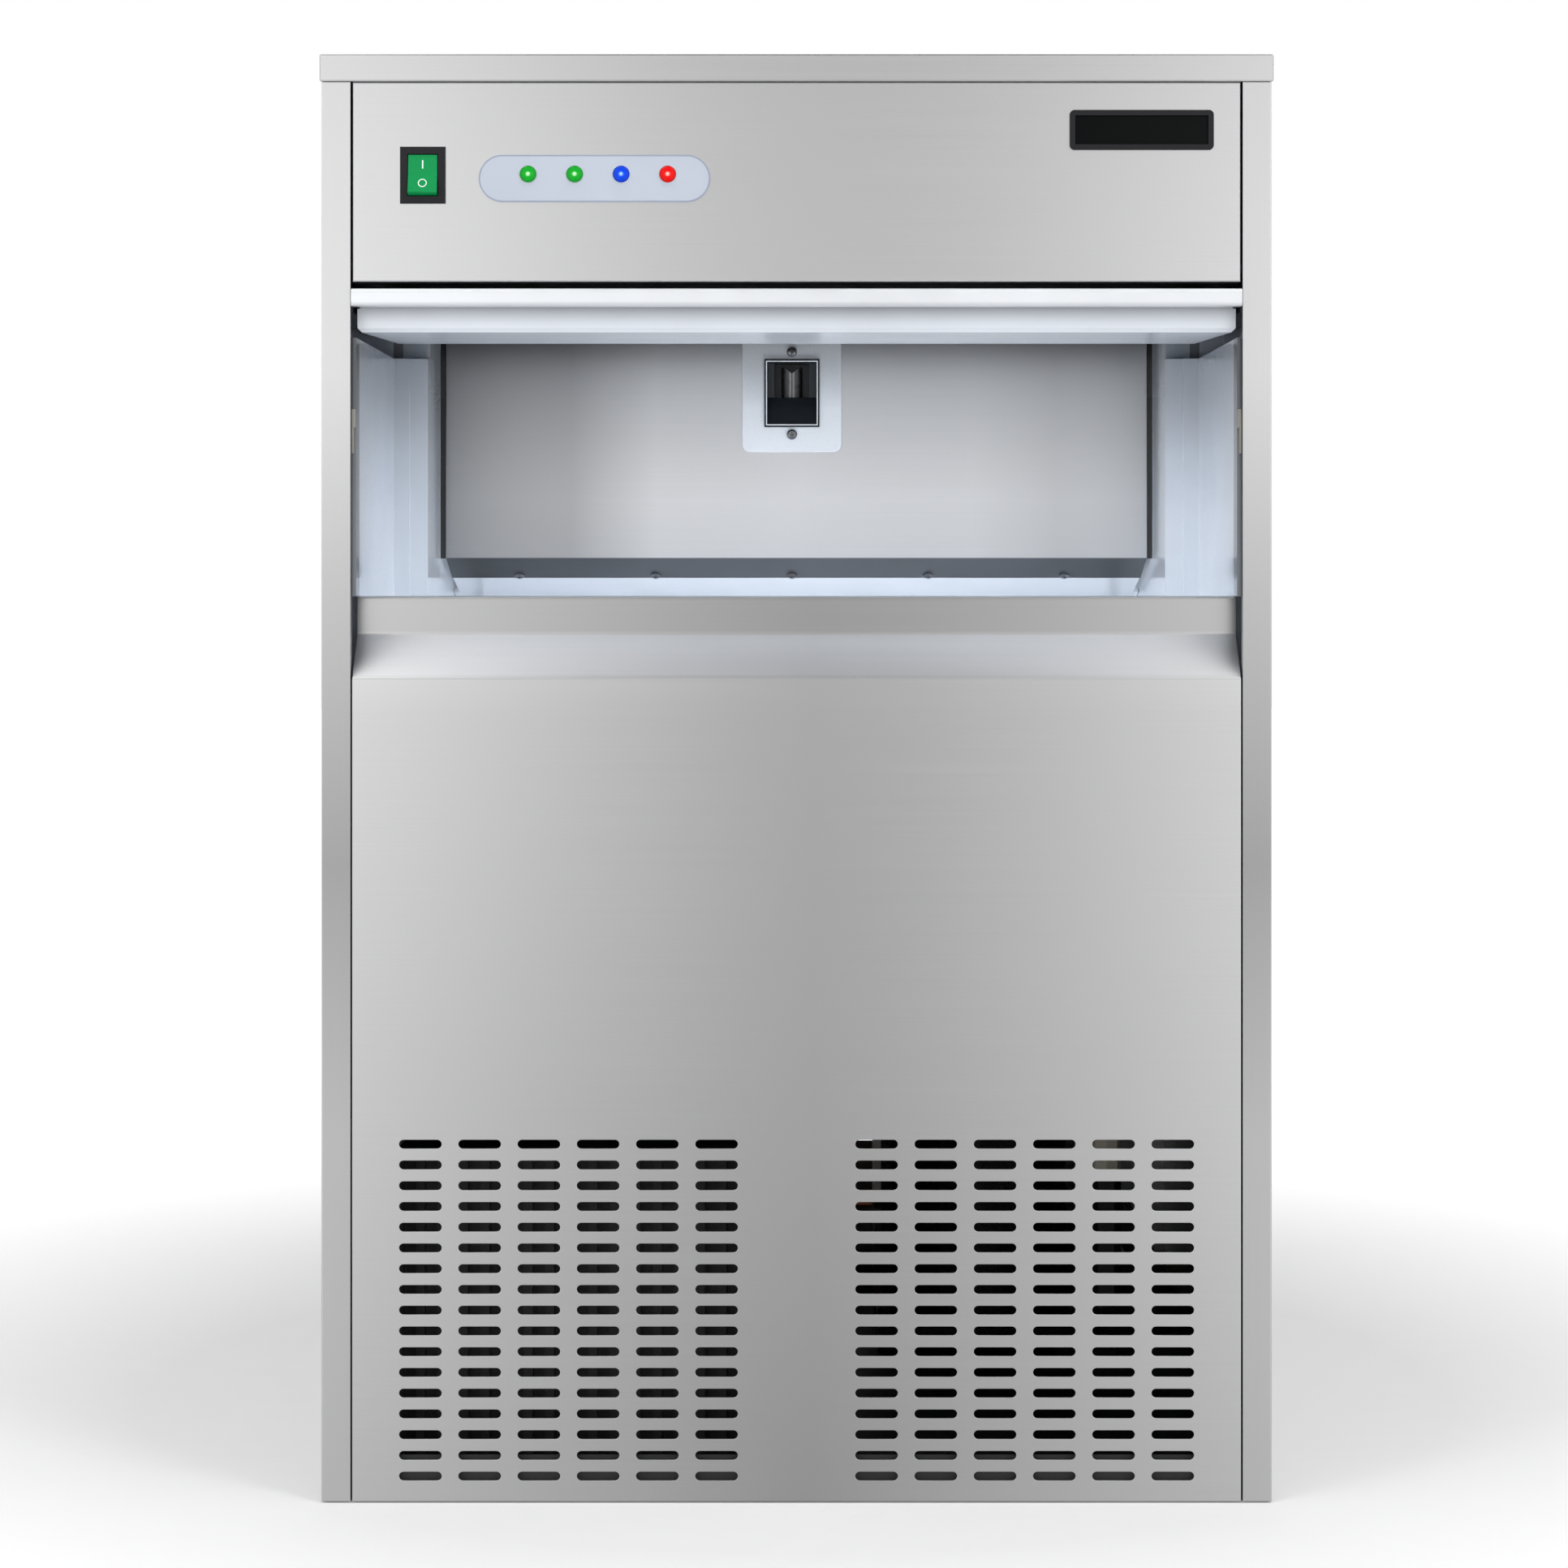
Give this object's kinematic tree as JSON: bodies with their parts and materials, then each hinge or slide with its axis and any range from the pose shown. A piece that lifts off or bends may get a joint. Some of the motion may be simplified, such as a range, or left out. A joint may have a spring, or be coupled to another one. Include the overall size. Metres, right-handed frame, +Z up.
{
  "type": "cube ice machine",
  "caption": "Under-counter cube ice machine: brushed steel cabinet with an open ice bin, a slide-and-tilt bin door, a control panel and a slotted lower front.",
  "frame": {"origin": "on the floor, under the middle of the machine's bounding box", "axes": "+Z up, +X to the right as seen from the front, +Y towards the back; the front faces -Y"},
  "size_m": [0.517, 0.5999, 0.785],
  "materials": {
    "brushed_stainless": "satin, brushed along its length",
    "stainless_inner": "satin",
    "zinc_sheet": "satin",
    "screws": "satin",
    "white_plastic": "glossy",
    "cream_plastic": "satin",
    "foam": "matte",
    "guide_plastic": "satin",
    "tray_plastic": "satin",
    "black_plastic": "satin",
    "sensor_plastic": "satin",
    "display_glass": "glossy",
    "rocker_green": "glossy",
    "plate_grey": "satin",
    "lamp_green": "glossy",
    "lamp_blue": "glossy",
    "lamp_red": "glossy",
    "board": "satin",
    "black_enamel": "glossy",
    "rubber": "matte",
    "fins": "satin",
    "motor_casting": "satin",
    "copper": "satin",
    "valve_plastic": "satin",
    "water_tube": "satin"
  },
  "bodies": {
    "cabinet": {"back_panel": "zinc_sheet", "back_panel_screws": "screws", "base_pan": "zinc_sheet", "bay_roof": "zinc_sheet", "bin_liner": "white_plastic", "cable_gland": "black_plastic", "circuit_board": "board", "compartment_screws": "screws", "compressor": "black_enamel", "compressor_grommets": "rubber", "condenser": "fins", "control_box": "zinc_sheet", "control_panel": "brushed_stainless", "discharge_line": "copper", "display_bezel": "black_plastic", "display_window": "display_glass", "door_tracks": "guide_plastic", "drain_fitting": "black_plastic", "drain_hose": "black_plastic", "drain_spigot": "tray_plastic", "evaporator_coil": "copper", "evaporator_hangers": "zinc_sheet", "evaporator_plate": "copper", "fan_motor": "motor_casting", "fan_shroud": "zinc_sheet", "filter_drier": "copper", "guide_clips": "cream_plastic", "ice_baffle": "stainless_inner", "ice_chute": "white_plastic", "indicator_lamp_1": "lamp_green", "indicator_lamp_2": "lamp_green", "indicator_lamp_3": "lamp_blue", "indicator_lamp_4": "lamp_red", "indicator_plate": "plate_grey", "insulation_foam": "foam", "left_side_panel": "brushed_stainless", "leg_sockets": "zinc_sheet", "liquid_line": "copper", "lower_front_panel": "brushed_stainless", "right_side_panel": "brushed_stainless", "sensor_bracket": "stainless_inner", "sensor_bulb": "black_plastic", "sensor_housing": "sensor_plastic", "suction_line": "copper", "switch_housing": "black_plastic", "tilt_motor": "black_plastic", "top_cover": "brushed_stainless", "tray_bracket": "guide_plastic", "water_inlet_valve": "valve_plastic", "water_line": "water_tube"},
    "door_carriage": {"door_shoes": "guide_plastic"},
    "door": {"door_grip_lip": "stainless_inner", "door_outer_skin": "stainless_inner", "door_inner_panel": "white_plastic", "door_insulation": "foam", "door_hinge_blocks": "guide_plastic"},
    "power_rocker": {"switch_rocker": "rocker_green"},
    "fan": {"fan_rotor": "black_plastic"},
    "tray": {"water_tray": "tray_plastic", "water_pump": "black_plastic"}
  },
  "joints": [
    {"name": "door_slide", "type": "slide", "parent": "cabinet", "child": "door_carriage", "axis": [0, -1, 0], "range_m": [0, 0.17747]},
    {"name": "door_tilt", "type": "hinge", "parent": "door_carriage", "child": "door", "pos_m": [0, -0.10573, 0.652], "axis": [1, 0, 0], "range_deg": [0, 88.25]},
    {"name": "power_rocker", "type": "hinge", "parent": "cabinet", "child": "power_rocker", "pos_m": [-0.2025, -0.294, 0.7195], "axis": [1, 0, 0], "range_deg": [0, 22]},
    {"name": "fan_spin", "type": "hinge", "parent": "cabinet", "child": "fan", "pos_m": [-0.128, -0.162, 0.091], "axis": [0, 1, 0], "continuous": true},
    {"name": "tray_tilt", "type": "hinge", "parent": "cabinet", "child": "tray", "pos_m": [0, 0.205, 0.64], "axis": [1, 0, 0], "range_deg": [0, 28]}
  ],
  "couplings": [
    {"joint": "door_slide", "follows": "door_tilt", "m_per_rad": 0.11522}
  ]
}
